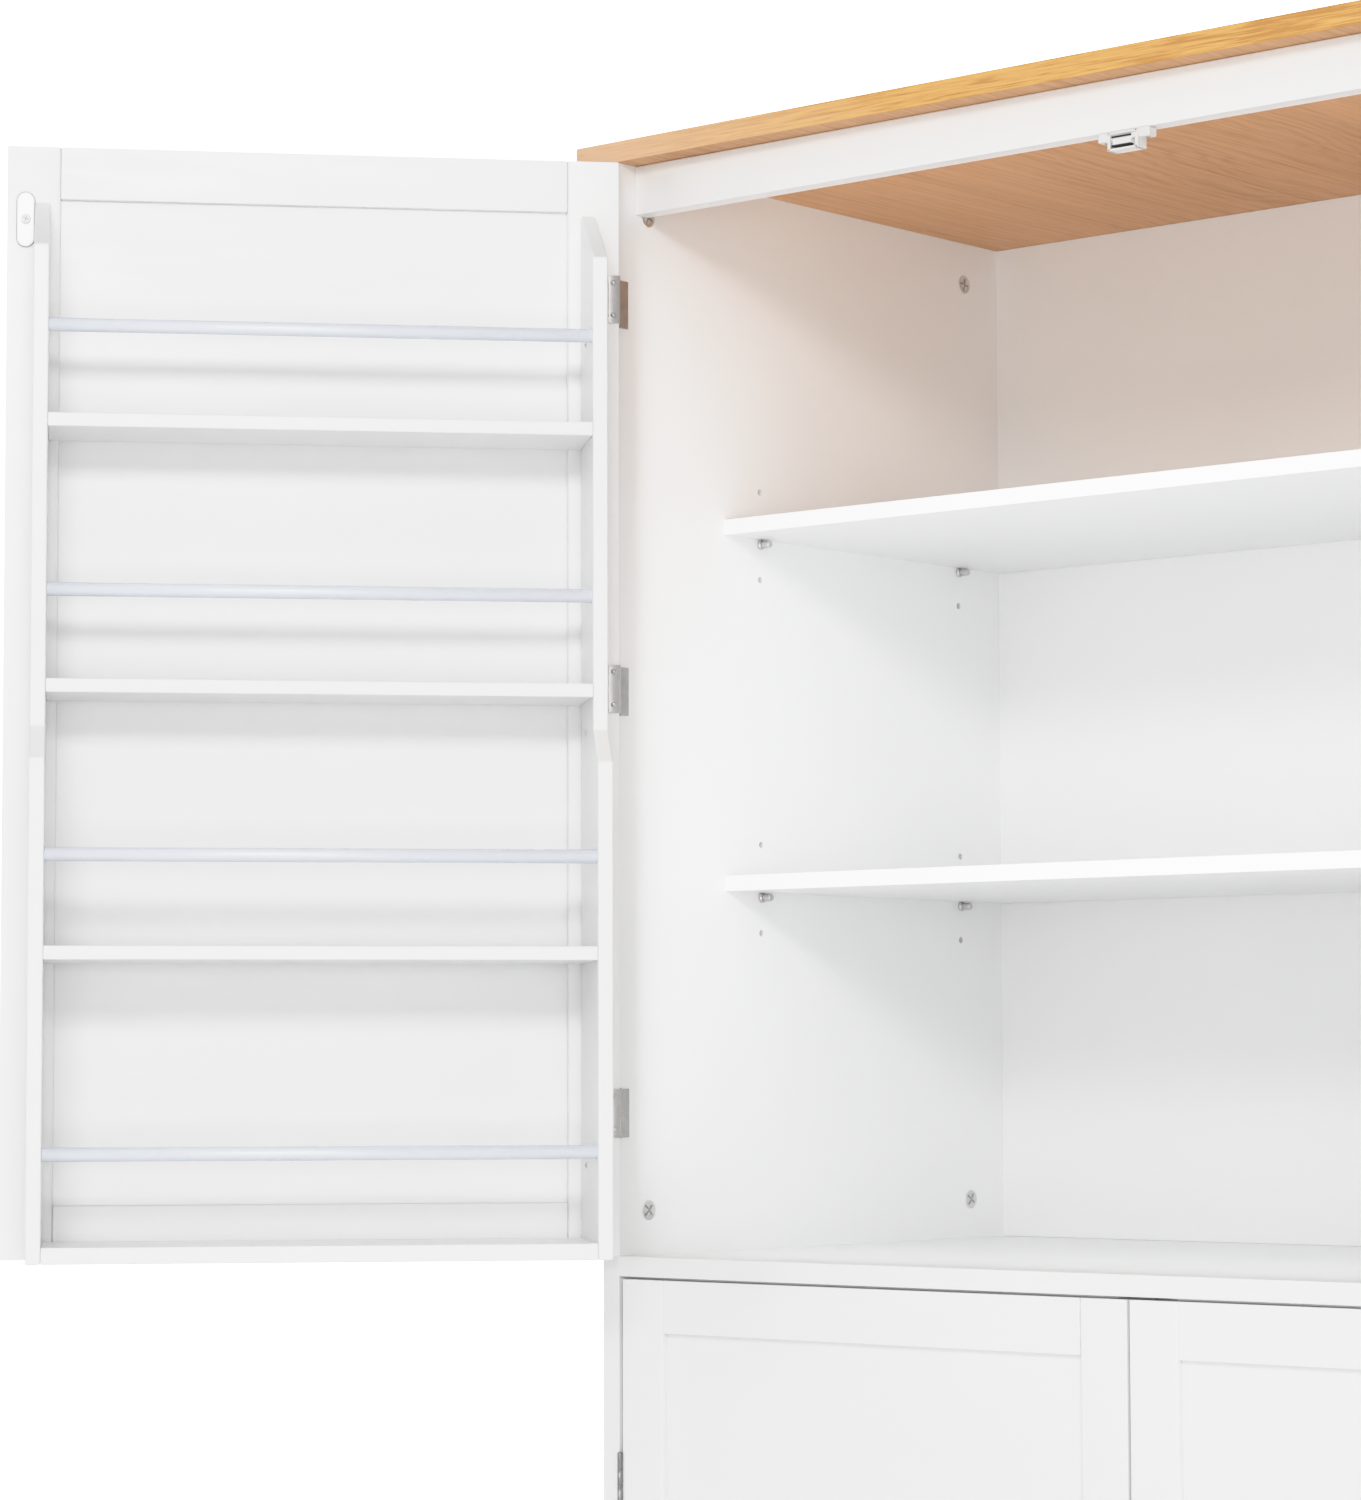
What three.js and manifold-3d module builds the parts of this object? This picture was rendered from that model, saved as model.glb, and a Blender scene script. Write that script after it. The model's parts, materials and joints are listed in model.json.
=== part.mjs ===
// Tall pantry cabinet: a white carcass with an oak-effect top board, two pairs
// of inset framed doors on wrap hinges, adjustable shelves on pins, magnetic
// catches, and a four-tier rack with guard rods on the inside of each upper door.
//
// Millimetres, +Z up. The cabinet faces -Y. While it is being built, X = 0 is the
// middle of the cabinet, Y = 0 is the plane of the door faces and Z = 0 is the
// floor. At the end the whole group is moved in X and Y so that its origin is the
// bottom centre of its own bounding box, with both upper doors standing open.

import * as THREE from 'three';
import * as BufferGeometryUtils from 'three/addons/utils/BufferGeometryUtils.js';
import Module from 'manifold-3d';

const wasm = await Module();
wasm.setup();

// ---------------------------------------------------------------- sizes (mm)

// carcass
const innerWidth = 916;          // clear width between the side panels
const upperOpening = 822;        // clear height above the divider
const lowerOpening = 820;        // clear height below the divider
const carcassDepth = 490;        // side panels, front edge to back edge
const baseHeight = 112;          // floor to the underside of the bottom board
const sideThickness = 16;
const topThickness = 16;
const dividerThickness = 15;
const bottomThickness = 15;
const topSideOverhang = 26;      // top board past each side panel
const topFrontOverhang = 1;      // top board past the door faces
const railHeight = 37.6;
const railThickness = 15;
const railGap = 5;               // closed upper doors to the rail
const kickThickness = 15;
const kickSetback = 30;
const backThickness = 5;
const backRecess = 8.5;          // back panel to the carcass's back edge
const seat = 0.1;                // assembly gap between fixed boards

// shelves
const shelfThickness = 12;
const rackShelfGap = 4.2;        // closed door racks to the upper shelves' front edges
const lowerShelfGap = 25;        // closed lower doors to the lower shelf's front edge
const shelfPlay = 0.5;           // clearance at a shelf's ends and back
const highShelfHeight = 549.8;   // divider to the underside of the higher shelf
const lowShelfHeight = 274.4;    // divider to the underside of the lower shelf
const baseShelfHeight = 400;     // bottom board to the underside of the lowest shelf

// shelf pin holes
const pinHoleRadius = 2.5;
const pinHoleDepth = 9;
const holeAbovePin = 41;         // pin's own hole to the next one up
const holeBelowPin = 27.5;       // and to the next one down
const frontPinInset = 42.5;      // upper shelves' front edges to the front column of holes
const rearPinInset = 55.5;       // back panel to the rear column of holes
const pinDrop = 3.9;             // shelf underside to the axis of its pin

// doors
const doorThickness = 15;
const doorSideGap = 3;           // door edge to side panel, filled by the hinge leaves
const doorSeamGap = 2.2;         // between the two doors of a pair
const doorTopGap = 3.8;          // upper doors to the top board
const doorBottomGap = 1.2;       // doors to the board below
const lowerDoorTopGap = 1.8;     // lower doors to the divider
const stileWidth = 39;
const panelRecess = 5;           // frame face to panel face, both sides
const grooveDepth = 8;           // panel tongue's groove in the frame
const grooveGap = 0.3;
const openAngle = 131;           // upper doors as they stand

// hinges
const barrelRadius = 1.75;
const barrelClearance = 0.3;     // barrel to the corners of the door and side panel
const leafThickness = 1;
const leafDepth = 10;
const leafGap = 0.3;
const hingeHeight = 36;
const upperHingeInset = 104.5;   // door end to the centre of its end hinges
const middleHingeRise = 11;      // middle hinge above the door's mid height
const lowerHingeInset = 146;

// door racks
const rackSide = 11;             // side panel thickness
const rackBoard = 10;            // shelf thickness
const rackBase = 12;             // bottom board thickness
const rackHingeInset = 18;       // door's hinge edge to the rack
const rackStrikeGap = 0.35;      // strike plate to the rack
const rackShallow = 76;          // depth of the upper part
const rackDeep = 104;            // depth of the lower part
const rackLift = 1.2;            // door's bottom edge to the rack's bottom
const rackTopDrop = 41.8;        // door's top edge to the panel's top, at the door
const rackTopSlope = 45.2;       // fall of the panel's top from the door to its front
const rackTopSpace = 167;        // upper tier's floor to the panel's top
const rackBottomExtra = 20.2;    // how much taller the bottom tier is than the others
const rackStepDrop = 34;         // middle tier's floor to the top of the step
const rackStepSlope = 25;        // fall of the step between the two depths
const rodRadius = 5;
const rodRise = 64.8;            // tier floor to rod axis
const rodInset = 8.5;            // rack's front edge to rod axis
const rodSocket = 4;             // depth of the rod's seat in the side panels
const clearance = 0.3;           // between pieces fixed to a door

// catches, strikes, knobs
const catchPlateWidth = 43;
const catchPlateHeight = 3.3;
const catchBodyWidth = 25.6;
const catchBodyHeight = 10.4;
const catchGap = 0.5;            // closed strike plate to the catch
const catchPlateSetback = 1;     // rail's front face to the screw plate
const catchDepth = 16;
const catchRackGap = 1.2;        // closed left rack to the upper catch
const strikeWidth = 12.9;
const strikeHeight = 40.5;
const strikeThickness = 2;
const strikeEdge = 13.5;         // door's free edge to the strike's centre line
const nearStrikeEdge = 7.6;      // the same on the upper right door, to reach the catch
const upperStrikeDrop = 21.2;    // rail's underside to the strike's centre
const lowerStrikeInset = 2.25;   // lower door's top edge to the strike
const knobProjection = 25;
const knobRadius = 14;
const knobFromEnd = 190;         // door end nearest the divider to the knob

// --------------------------------------------------------- derived positions

const halfIn = innerWidth / 2;
const halfOut = halfIn + sideThickness;
const bottomTop = baseHeight + bottomThickness;
const dividerBottom = bottomTop + lowerOpening;
const dividerTop = dividerBottom + dividerThickness;
const ceiling = dividerTop + upperOpening;
const overallHeight = ceiling + topThickness;
const backFace = carcassDepth - backRecess - backThickness;
const railBottom = ceiling - railHeight;

const doorWidth = halfIn - doorSideGap - doorSeamGap / 2;
const upperDoorBottom = dividerTop + doorBottomGap;
const upperDoorTop = ceiling - doorTopGap;
const lowerDoorBottom = bottomTop + doorBottomGap;
const lowerDoorTop = dividerBottom - lowerDoorTopGap;
const pivotX = halfIn - doorSideGap / 2;
const pivotY = -Math.sqrt((barrelRadius + barrelClearance) ** 2 - (doorSideGap / 2) ** 2);

const railFront = doorThickness + railGap;
const strikeFace = doorThickness + clearance + strikeThickness;
const catchFront = strikeFace + catchGap;
const shelfFront = doorThickness + clearance + rackDeep + rackShelfGap;
const lowerShelfFront = doorThickness + lowerShelfGap;
const frontPinLine = shelfFront + frontPinInset;
const rearPinLine = backFace - rearPinInset;

const rackFreeInset = strikeEdge + strikeWidth / 2 + rackStrikeGap;
const upperCatchOffset = -(doorSeamGap / 2 + rackFreeInset - catchRackGap - catchBodyWidth / 2);

// ------------------------------------------------------------------ materials

const mat = (color, roughness, metalness = 0) =>
  new THREE.MeshStandardMaterial({ color, roughness, metalness });
const white = mat(0xf1f1f0, 0.55);
const backWhite = mat(0xeeeeec, 0.65);
const oak = mat(0xe3ae62, 0.5);
const steel = mat(0x9a9a98, 0.35, 0.9);
const rodPaint = mat(0xdfe4ee, 0.35);
const plastic = mat(0xf4f3f1, 0.4);

// -------------------------------------------------------------------- helpers

const root = new THREE.Group();

function put(parent, name, geometry, material, x = 0, y = 0, z = 0) {
  const mesh = new THREE.Mesh(geometry, material);
  mesh.name = name;
  mesh.position.set(x, y, z);
  parent.add(mesh);
  return mesh;
}

// a board given by its two corners
function board(parent, name, [x0, x1], [y0, y1], [z0, z1], material) {
  const geometry = new THREE.BoxGeometry(x1 - x0, y1 - y0, z1 - z0);
  return put(parent, name, geometry, material, (x0 + x1) / 2, (y0 + y1) / 2, (z0 + z1) / 2);
}

function boxAt([x0, x1], [y0, y1], [z0, z1]) {
  const geometry = new THREE.BoxGeometry(x1 - x0, y1 - y0, z1 - z0);
  geometry.translate((x0 + x1) / 2, (y0 + y1) / 2, (z0 + z1) / 2);
  return geometry;
}

// a round bar along X
function barX(radius, x0, x1, y, z, sides) {
  const geometry = new THREE.CylinderGeometry(radius, radius, x1 - x0, sides);
  geometry.rotateZ(Math.PI / 2);
  geometry.translate((x0 + x1) / 2, y, z);
  return geometry;
}

function solid(geometry) {
  const bare = geometry.index ? geometry.clone() : geometry;
  bare.deleteAttribute('normal');
  bare.deleteAttribute('uv');
  const merged = BufferGeometryUtils.mergeVertices(bare, 1e-4);
  return new wasm.Manifold(new wasm.Mesh({
    numProp: 3,
    vertProperties: new Float32Array(merged.attributes.position.array),
    triVerts: new Uint32Array(merged.index.array),
  }));
}

function toGeometry(manifold) {
  const mesh = manifold.getMesh();
  const geometry = new THREE.BufferGeometry();
  geometry.setAttribute('position', new THREE.BufferAttribute(new Float32Array(mesh.vertProperties), 3));
  geometry.setIndex(new THREE.BufferAttribute(new Uint32Array(mesh.triVerts), 1));
  return geometry;
}

function cut(base, tools) {
  let result = solid(base);
  for (const tool of tools) result = result.subtract(solid(tool));
  return toGeometry(result);
}

// mirrors a range given for the left side onto the side asked for
const across = (side, a, b) => (side < 0 ? [-b, -a] : [a, b]);

// ------------------------------------------------------------- side panels

function sidePanel(name, side) {
  const shell = boxAt(across(side, halfIn, halfOut), [0, carcassDepth], [0, ceiling - seat]);
  const holes = [];
  const columns = [frontPinLine, rearPinLine];
  const shelves = [dividerTop + highShelfHeight, dividerTop + lowShelfHeight, bottomTop + baseShelfHeight];
  for (const y of columns) {
    for (const underside of shelves) {
      for (const step of [-holeBelowPin, 0, holeAbovePin]) {
        const z = underside - pinDrop + step;
        const [x0, x1] = across(side, halfIn - 1, halfIn + pinHoleDepth);
        holes.push(barX(pinHoleRadius, x0, x1, y, z, 24));
      }
    }
  }
  put(root, name, cut(shell, holes), white);
}
sidePanel('left_side_panel', -1);
sidePanel('right_side_panel', 1);

// ---------------------------------------------------------- carcass boards

const between = [-halfIn + seat, halfIn - seat];

board(root, 'top_board',
  [-halfOut - topSideOverhang, halfOut + topSideOverhang],
  [-topFrontOverhang, carcassDepth], [ceiling, overallHeight], oak);
board(root, 'top_rail', between, [railFront, railFront + railThickness],
  [railBottom, ceiling - seat], white);
board(root, 'divider_board', between, [0, carcassDepth], [dividerBottom, dividerTop], white);
board(root, 'bottom_board', between, [0, carcassDepth], [baseHeight, bottomTop], white);
board(root, 'toe_kick', between, [kickSetback, kickSetback + kickThickness],
  [0, baseHeight - seat], white);
board(root, 'upper_back_panel', between, [backFace, backFace + backThickness],
  [dividerTop + seat, ceiling - seat], backWhite);
board(root, 'lower_back_panel', between, [backFace, backFace + backThickness],
  [bottomTop + seat, dividerBottom - seat], backWhite);

// ----------------------------------------------------------------- shelves

const shelfSpan = [-halfIn + shelfPlay, halfIn - shelfPlay];
const shelfBack = backFace - shelfPlay;
for (const [name, underside, front] of [
  ['upper_shelf', dividerTop + highShelfHeight, shelfFront],
  ['middle_shelf', dividerTop + lowShelfHeight, shelfFront],
  ['lower_shelf', bottomTop + baseShelfHeight, lowerShelfFront],
]) {
  board(root, name, shelfSpan, [front, shelfBack], [underside, underside + shelfThickness], white);
}

// ---------------------------------------------------------- magnetic catches

// Each catch is a screw plate with the magnet housing below it.
function catchUnit(name, centre, ceilingZ) {
  const plate = boxAt(
    [centre - catchPlateWidth / 2, centre + catchPlateWidth / 2],
    [railFront + catchPlateSetback, catchFront + catchDepth],
    [ceilingZ - seat - catchPlateHeight, ceilingZ - seat]);
  const body = boxAt(
    [centre - catchBodyWidth / 2, centre + catchBodyWidth / 2],
    [catchFront, catchFront + catchDepth],
    [ceilingZ - seat - catchPlateHeight - catchBodyHeight, ceilingZ - seat - catchPlateHeight / 2]);
  put(root, name, toGeometry(solid(plate).add(solid(body))), plastic);
}
catchUnit('upper_magnetic_catch', upperCatchOffset, railBottom);
catchUnit('lower_magnetic_catch', 0, dividerBottom);

// ------------------------------------------------------------------- hinges

// A hinge is its barrel with the leaf that lies on the side panel, as one
// keyhole-shaped section. Its x runs from the side panel's face to the door.
function hingeSection(side) {
  const near = leafGap;
  const far = leafGap + leafThickness;
  const axis = doorSideGap / 2;
  const meets = (x) => Math.acos((x - axis) / barrelRadius);
  const from = meets(near);
  const to = meets(far) + 2 * Math.PI;
  const steps = 22;
  const points = [[near, leafDepth]];
  for (let i = 0; i <= steps; i += 1) {
    const a = from + ((to - from) * i) / steps;
    points.push([axis + barrelRadius * Math.cos(a), pivotY + barrelRadius * Math.sin(a)]);
  }
  points.push([far, leafDepth]);
  return new THREE.Shape(points.map(([x, y]) => new THREE.Vector2(side * (halfIn - x), y)));
}

function hinge(name, side, centreZ) {
  const geometry = new THREE.ExtrudeGeometry(hingeSection(side), {
    depth: hingeHeight, bevelEnabled: false, curveSegments: 1,
  });
  put(root, name, geometry, steel, 0, 0, centreZ - hingeHeight / 2);
}

// --------------------------------------------------------------------- doors

// A door is built shut, in a group whose origin is the hinge axis on the floor,
// and the group is then turned to the angle at which the door stands.
function door(prefix, side, zBottom, zTop, angle, strikeInset, strikeZ, knobZ) {
  const group = new THREE.Group();
  group.position.set(side * pivotX, pivotY, 0);
  group.rotation.z = side * THREE.MathUtils.degToRad(angle);
  root.add(group);

  // distance from the hinge edge and from the outer face, in the group's frame
  const along = (s) => side * (halfIn - doorSideGap - s) - side * pivotX;
  const span = (s0, s1) => [along(s0), along(s1)].sort((a, b) => a - b);
  const depth = (n0, n1) => [n0 - pivotY, n1 - pivotY];

  const mid = [panelRecess, doorThickness - panelRecess];
  const slab = boxAt(span(0, doorWidth), depth(0, doorThickness), [zBottom, zTop]);
  const window = boxAt(span(stileWidth, doorWidth - stileWidth),
    depth(-1, doorThickness + 1), [zBottom + stileWidth, zTop - stileWidth]);
  const reach = stileWidth - grooveDepth;
  const groove = boxAt(span(reach, doorWidth - reach),
    depth(mid[0] - grooveGap, mid[1] + grooveGap), [zBottom + reach, zTop - reach]);
  put(group, `${prefix}_door_frame`, cut(slab, [window, groove]), white);
  board(group, `${prefix}_door_panel`,
    span(reach + grooveGap, doorWidth - reach - grooveGap),
    depth(mid[0], mid[1]),
    [zBottom + reach + grooveGap, zTop - reach - grooveGap], white);

  // strike plate: a capsule near the free edge, on the inside face
  const half = strikeHeight / 2 - strikeWidth / 2;
  const capsule = new THREE.Shape();
  const arc = 10;
  const outline = [];
  for (let i = 0; i <= arc; i += 1) {
    const a = (Math.PI * i) / arc;
    outline.push([(strikeWidth / 2) * Math.cos(a), half + (strikeWidth / 2) * Math.sin(a)]);
  }
  for (let i = 0; i <= arc; i += 1) {
    const a = Math.PI + (Math.PI * i) / arc;
    outline.push([(strikeWidth / 2) * Math.cos(a), -half + (strikeWidth / 2) * Math.sin(a)]);
  }
  capsule.setFromPoints(outline.map(([x, y]) => new THREE.Vector2(x, y)));
  const plate = new THREE.ExtrudeGeometry(capsule, {
    depth: strikeThickness, bevelEnabled: false, curveSegments: 1,
  });
  plate.rotateX(Math.PI / 2);        // outline stands up, thickness runs towards -Y
  put(group, `${prefix}_strike_plate`, plate, plastic,
    along(doorWidth - strikeInset),
    depth(0, strikeFace)[1], strikeZ);

  // knob: base, neck and domed head, turned about its own axis
  const r = knobRadius;
  const p = knobProjection;
  const profile = [
    [0, 0], [r * 0.5, 0], [r * 0.5, 2], [r * 0.36, 4], [r * 0.34, p * 0.45],
    [r * 0.62, p * 0.55], [r * 0.93, p * 0.66], [r, p * 0.76], [r * 0.95, p * 0.88],
    [r * 0.7, p * 0.97], [r * 0.35, p], [0, p],
  ].map(([x, y]) => new THREE.Vector2(x, y));
  const knob = new THREE.LatheGeometry(profile, 24);
  knob.rotateX(Math.PI);             // grows towards -Y after the next turn
  put(group, `${prefix}_knob`, knob, steel,
    along(doorWidth - stileWidth / 2), depth(-clearance, 0)[0], knobZ);
  return { group, along, span, depth };
}

// ---------------------------------------------------------------- door racks

function rack(prefix, { group, along, span, depth }, zDoor, zDoorTop) {
  const n0 = doorThickness + clearance;
  const right = doorWidth - rackFreeInset;
  const zFoot = zDoor + rackLift;
  const zPanel = zDoorTop - rackTopDrop;

  // tier floors: the bottom one is extra tall, the others share the rest evenly
  const lowest = zFoot + rackBase;
  const highest = zPanel - rackTopSpace;
  const pitch = (highest - lowest - rackBottomExtra) / 3;
  const levels = [lowest, highest - 2 * pitch, highest - pitch, highest];
  const zStep = levels[2] - rackStepDrop;
  const deepFrom = (z) => (z < zStep ? rackDeep : rackShallow);
  const rodsAt = levels.map((z) => [n0 + deepFrom(z) - rodInset, z + rodRise]);

  // side panel outline, in the plane of depth and height
  const outline = [
    [0, zFoot], [rackDeep, zFoot], [rackDeep, zStep - rackStepSlope],
    [rackShallow, zStep], [rackShallow, zPanel - rackTopSlope], [0, zPanel],
  ];
  const side = (name, s0, s1, inner) => {
    const shape = new THREE.Shape(outline.map(([n, z]) => new THREE.Vector2(n0 + n - pivotY, z)));
    const geometry = new THREE.ExtrudeGeometry(shape, {
      depth: rackSide, bevelEnabled: false, curveSegments: 1,
    });
    // extrusion's (u, v, w) becomes (w, u, v): a panel standing on edge
    geometry.applyMatrix4(new THREE.Matrix4().set(
      0, 0, 1, span(s0, s1)[0],
      1, 0, 0, 0,
      0, 1, 0, 0,
      0, 0, 0, 1));
    const sockets = rodsAt.map(([n, z]) => {
      const [x0, x1] = span(inner[0], inner[1]);
      return barX(rodRadius + clearance, x0, x1, n - pivotY, z, 24);
    });
    put(group, name, cut(geometry, sockets), white);
  };
  side(`${prefix}_rack_hinge_side`, rackHingeInset, rackHingeInset + rackSide,
    [rackHingeInset + rackSide - rodSocket, rackHingeInset + rackSide + 1]);
  side(`${prefix}_rack_free_side`, right - rackSide, right,
    [right - rackSide - 1, right - rackSide + rodSocket]);

  const a = rackHingeInset + rackSide;
  const b = right - rackSide;
  const names = ['bottom', 'lower', 'middle', 'upper'];
  levels.forEach((z, i) => {
    const thick = i === 0 ? rackBase : rackBoard;
    board(group, `${prefix}_rack_${names[i]}_board`, span(a + clearance, b - clearance),
      depth(n0, n0 + deepFrom(z)), [z - thick, z], white);
    const [n, zr] = rodsAt[i];
    const [x0, x1] = span(a - rodSocket + clearance, b + rodSocket - clearance);
    put(group, `${prefix}_rack_${names[i]}_rod`, barX(rodRadius, x0, x1, n - pivotY, zr, 24), rodPaint);
  });
}

// ------------------------------------------------------------------ assembly

for (const [word, side] of [['left', -1], ['right', 1]]) {
  const upper = door(`upper_${word}`, side, upperDoorBottom, upperDoorTop, openAngle,
    side < 0 ? strikeEdge : nearStrikeEdge, railBottom - upperStrikeDrop,
    upperDoorBottom + knobFromEnd);
  rack(`upper_${word}`, upper, upperDoorBottom, upperDoorTop);
  door(`lower_${word}`, side, lowerDoorBottom, lowerDoorTop, 0,
    strikeEdge, lowerDoorTop - lowerStrikeInset - strikeHeight / 2, lowerDoorTop - knobFromEnd);

  hinge(`upper_${word}_hinge_top`, side, upperDoorTop - upperHingeInset);
  hinge(`upper_${word}_hinge_middle`, side, (upperDoorTop + upperDoorBottom) / 2 + middleHingeRise);
  hinge(`upper_${word}_hinge_bottom`, side, upperDoorBottom + upperHingeInset);
  hinge(`lower_${word}_hinge_top`, side, lowerDoorTop - lowerHingeInset);
  hinge(`lower_${word}_hinge_bottom`, side, lowerDoorBottom + lowerHingeInset);
}

// origin at the bottom centre of the bounding box
root.updateMatrixWorld(true);
const box = new THREE.Box3();
root.traverse((item) => {
  if (item.isMesh) box.union(new THREE.Box3().setFromObject(item, true));
});
root.position.set(-(box.min.x + box.max.x) / 2, -(box.min.y + box.max.y) / 2, -box.min.z);
root.updateMatrixWorld(true);

export default root;
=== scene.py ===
import bpy, bmesh, json, math
from mathutils import Matrix, Vector


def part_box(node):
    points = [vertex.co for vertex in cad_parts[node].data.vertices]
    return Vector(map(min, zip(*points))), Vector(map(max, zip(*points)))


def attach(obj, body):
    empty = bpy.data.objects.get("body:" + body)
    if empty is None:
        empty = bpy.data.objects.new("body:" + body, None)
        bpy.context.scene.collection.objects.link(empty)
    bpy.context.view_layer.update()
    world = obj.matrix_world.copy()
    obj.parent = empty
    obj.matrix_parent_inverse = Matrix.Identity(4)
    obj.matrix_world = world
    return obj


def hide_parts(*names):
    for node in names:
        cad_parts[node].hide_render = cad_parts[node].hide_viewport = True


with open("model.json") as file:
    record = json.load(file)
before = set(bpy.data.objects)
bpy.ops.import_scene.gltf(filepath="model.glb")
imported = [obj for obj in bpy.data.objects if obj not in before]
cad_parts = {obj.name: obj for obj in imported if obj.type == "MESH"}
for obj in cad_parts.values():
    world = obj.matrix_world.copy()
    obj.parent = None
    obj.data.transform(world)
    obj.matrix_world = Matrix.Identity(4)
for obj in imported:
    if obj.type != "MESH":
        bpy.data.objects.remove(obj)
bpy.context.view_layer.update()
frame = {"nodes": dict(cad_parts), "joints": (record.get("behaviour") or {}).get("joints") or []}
nodes = frame["nodes"]

# ------------------------------------------------------------- shared places
# Everything below is in millimetres in the cabinet's own coordinates: X from the
# middle, Y back from the plane of the closed doors, Z up from the floor.
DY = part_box("divider_board")[0].y * 1000
JOINTS = {j["child"]: j for j in frame["joints"]}


def mm(x, y, z):
    return Vector((x / 1000, (y + DY) / 1000, z / 1000))


def box_mm(node, turn=None):
    """Corners of a CAD node, with its door shut when turn is that door's matrix."""
    m = turn.inverted() if turn else Matrix.Identity(4)
    pts = [m @ v.co for v in nodes[node].data.vertices]
    lo = [min(p[i] for p in pts) * 1000 for i in range(3)]
    hi = [max(p[i] for p in pts) * 1000 for i in range(3)]
    lo[1] -= DY
    hi[1] -= DY
    return lo, hi


def door_turn(door):
    """Takes a piece built with its door shut to where the door stands at rest."""
    j = JOINTS[door]
    p = Vector(j["pos_m"])
    angle = -math.radians(j["range_deg"][0]) * j["axis"][2]
    return Matrix.Translation(p) @ Matrix.Rotation(angle, 4, "Z") @ Matrix.Translation(-p)


SIDE = box_mm("left_side_panel")
HALF_IN = -SIDE[1][0]
DIVIDER = box_mm("divider_board")
CEILING = box_mm("top_board")[0][2]
BOTTOM = box_mm("bottom_board")

# ----------------------------------------------------------------- materials


class Tree:
    """A short way to write a material's nodes."""

    def __init__(self, name):
        self.mat = bpy.data.materials.new(name)
        self.mat.use_nodes = True
        self.t = self.mat.node_tree
        self.t.nodes.clear()
        self.out = self.t.nodes.new("ShaderNodeOutputMaterial")
        self.bsdf = self.t.nodes.new("ShaderNodeBsdfPrincipled")
        self.t.links.new(self.bsdf.outputs[0], self.out.inputs[0])

    def put(self, socket, value):
        if hasattr(value, "is_output"):
            self.t.links.new(value, socket)
        elif value is not None:
            socket.default_value = value

    def node(self, kind, out=0, ins=None, **props):
        n = self.t.nodes.new("ShaderNode" + kind)
        for k, v in props.items():
            setattr(n, k, v)
        for k, v in (ins or {}).items():
            self.put(n.inputs[k], v)
        return n.outputs[out]

    def coords(self, scale=(1, 1, 1)):
        c = self.node("TexCoord", "Object")
        return self.node("Mapping", 0, {"Vector": c, "Scale": scale})

    def noise(self, vector, scale, detail=3.0, rough=0.5, distortion=0.0):
        return self.node("TexNoise", "Fac", {"Vector": vector, "Scale": scale, "Detail": detail,
                                            "Roughness": rough, "Distortion": distortion})

    def math(self, op, a, b=0.5, clamp=False):
        return self.node("Math", 0, {0: a, 1: b}, operation=op, use_clamp=clamp)

    def span(self, value, a, b, c, d):
        return self.node("MapRange", 0, {"Value": value, "From Min": a, "From Max": b,
                                         "To Min": c, "To Max": d})

    def mix(self, fac, a, b):
        n = self.t.nodes.new("ShaderNodeMix")
        n.data_type = "RGBA"
        self.put(n.inputs[0], fac)
        self.put(n.inputs[6], a)
        self.put(n.inputs[7], b)
        return n.outputs[2]

    def ramp(self, fac, stops):
        n = self.t.nodes.new("ShaderNodeValToRGB")
        el = n.color_ramp.elements
        while len(el) < len(stops):
            el.new(0.5)
        for e, (p, c) in zip(el, stops):
            e.position = p
            e.color = (*c, 1)
        self.put(n.inputs[0], fac)
        return n.outputs[0]

    def bump(self, height, strength, distance, normal=None):
        return self.node("Bump", 0, {"Height": height, "Strength": strength,
                                     "Distance": distance, "Normal": normal})

    def set(self, **values):
        for k, v in values.items():
            self.put(self.bsdf.inputs[k.replace("_", " ")], v)
        return self.mat


def rgb(r, g, b):
    """sRGB 0 to 255 to a linear colour."""
    return tuple(c / 12.92 if c <= 0.04045 else ((c + 0.055) / 1.055) ** 2.4
                 for c in (r / 255, g / 255, b / 255))


def white_board(name, base, rough=0.42, grain=1.0):
    """Melamine-faced board: satin, with a fine pressed texture and faint handling marks."""
    t = Tree(name)
    c = t.coords()
    fine = t.noise(c, 1400, 2, 0.6)
    pressed = t.noise(c, 260, 3, 0.55)
    cloud = t.noise(c, 5, 4, 0.55)
    smear = t.noise(t.coords((3, 3, 26)), 3.2, 5, 0.65, 0.6)
    tone = t.span(cloud, 0.3, 0.7, 0.0, 1.0)
    colour = t.mix(tone, (*[v * 0.985 for v in base], 1), (*base, 1))
    r = t.math("ADD", t.span(smear, 0.35, 0.7, rough - 0.05, rough + 0.07),
               t.span(pressed, 0.3, 0.7, -0.03, 0.03))
    b1 = t.bump(pressed, 0.10 * grain, 0.00012)
    b2 = t.bump(fine, 0.12 * grain, 0.00005, b1)
    return t.set(Base_Color=colour, Roughness=r, Normal=b2, Specular_IOR_Level=0.42,
                 Coat_Weight=0.06, Coat_Roughness=0.3)


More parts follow.
